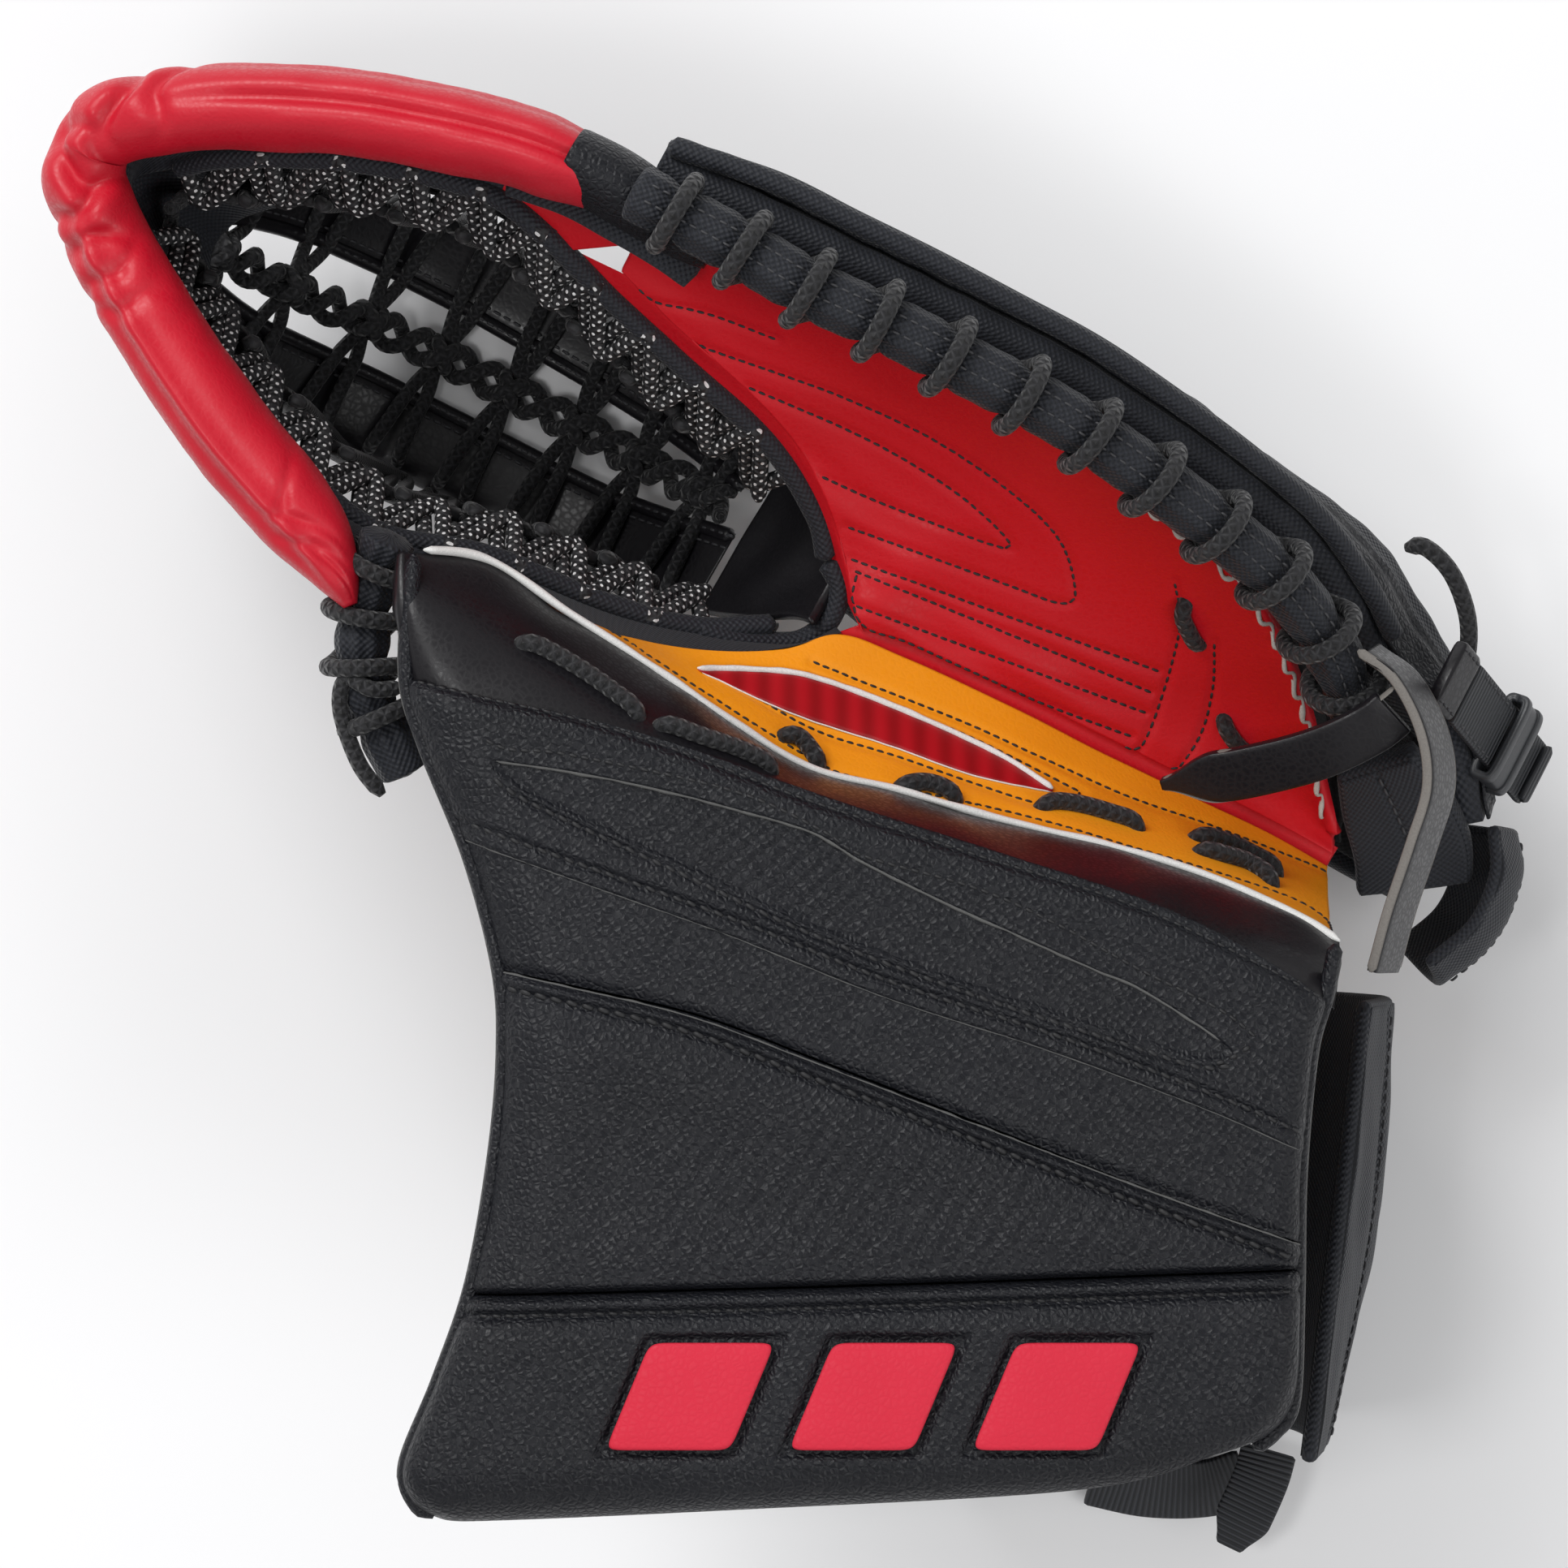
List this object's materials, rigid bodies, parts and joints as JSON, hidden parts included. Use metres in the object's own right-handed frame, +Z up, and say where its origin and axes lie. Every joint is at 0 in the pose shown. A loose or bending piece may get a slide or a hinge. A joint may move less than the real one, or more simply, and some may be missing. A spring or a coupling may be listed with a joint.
{
  "type": "goalkeeper catch glove",
  "caption": "Padded ice hockey catch glove that folds along its palm break, with a laced pocket, rolled rim and deep wrist cuff.",
  "frame": {"origin": "middle of the bounding box on the surface that the glove lies on, palm and cuff face up", "axes": "+Z up out of the pocket's mouth, +Y from the cuff towards the finger edge, -X towards the rim's corner"},
  "size_m": [0.35, 0.3498, 0.1696],
  "materials": {
    "black_leather": "blue-black pebbled leather, soft sheen",
    "red_palm_leather": "bright red split leather with black stitching",
    "red_rim_leather": "crimson smooth leather over padding",
    "red_emblem_leather": "light red embossed patch",
    "gold_leather": "gold leather with black stitching",
    "white_piping": "thin white corded edge",
    "black_plastic": "moulded black sheet",
    "black_lining": "black foam-backed lining",
    "black_lace": "black round braided lace",
    "black_nylon": "navy-black woven nylon"
  },
  "bodies": {
    "thumb_side": {"cuff_back_pad": "black_nylon", "cuff_back_strap": "black_nylon", "cuff_binding_left": "black_leather", "cuff_binding_right": "black_leather", "cuff_board": "black_plastic", "cuff_lining_pad": "black_lining", "cuff_lower_pad": "black_leather", "cuff_middle_pad": "black_leather", "cuff_pull_tab": "black_nylon", "cuff_side_gusset": "black_nylon", "emblem_bar_centre": "red_emblem_leather", "emblem_bar_left": "red_emblem_leather", "emblem_bar_right": "red_emblem_leather", "gusset_band": "gold_leather", "gusset_inset": "red_palm_leather", "leather_strap_loop": "black_leather", "pocket_binding_thumb": "black_nylon", "pocket_chain_lace": "black_lace", "pocket_heel_patch": "black_leather", "pocket_lacing_thumb": "black_lace", "pocket_strap_thumb": "black_leather", "rim_corner": "red_rim_leather", "rim_thumb_side": "red_rim_leather", "thumb_band": "black_nylon", "thumb_edge_roll": "black_nylon", "thumb_face_pad": "black_leather", "thumb_piping": "white_piping", "thumb_tip_lacing": "black_lace", "thumb_wall_pad": "black_leather", "wrist_flap": "black_nylon"},
    "finger_side": {"palm_leather": "red_palm_leather", "palm_foam": "black_lining", "finger_band_index": "black_nylon", "finger_band_middle": "black_nylon", "finger_band_ring": "black_nylon", "finger_band_little": "black_nylon", "finger_edge_roll": "black_nylon", "finger_edge_lacing": "black_lace", "backhand_shell": "black_nylon", "backhand_liner": "black_lining", "backhand_binding": "black_nylon", "backhand_lace_loop": "black_lace", "heel_pad": "black_leather", "heel_flap": "black_nylon", "rim_finger_side": "red_rim_leather", "pocket_binding_finger": "black_nylon", "pocket_strap_finger": "black_leather", "pocket_lacing_finger": "black_lace", "strap_anchor": "black_leather"},
    "wrist_strap": {"wrist_strap": "black_nylon"},
    "wrist_buckle": {"wrist_buckle": "black_plastic"},
    "strap_tail": {"strap_tail": "black_leather"}
  },
  "joints": [
    {"name": "palm_break", "type": "hinge", "parent": "thumb_side", "child": "finger_side", "pos_m": [0.12256, -0.0042, 0.064], "axis": [0.8492, -0.4903, -0.1961], "range_deg": [-15, 35], "stiffness_Nm_per_rad": 6, "deforming": ["pocket_strap_finger", "pocket_strap_thumb", "pocket_lacing_finger", "pocket_lacing_thumb", "pocket_chain_lace", "pocket_heel_patch", "pocket_binding_finger", "pocket_binding_thumb", "rim_corner", "leather_strap_loop", "strap_tail"]},
    {"name": "wrist_strap_open", "type": "hinge", "parent": "finger_side", "child": "wrist_strap", "pos_m": [0.15089, 0.03487, 0.096], "axis": [-0.4616, -0.8629, 0.2057], "range_deg": [0, 75]},
    {"name": "wrist_buckle_slide", "type": "slide", "parent": "wrist_strap", "child": "wrist_buckle", "axis": [0.4439, -0.4254, -0.7887], "range_m": [-0.012, 0.008]},
    {"name": "strap_tail_lift", "type": "hinge", "parent": "finger_side", "child": "strap_tail", "pos_m": [0.13206, 0.0303, 0.119], "axis": [0, 1, 0], "range_deg": [0, 70]}
  ]
}
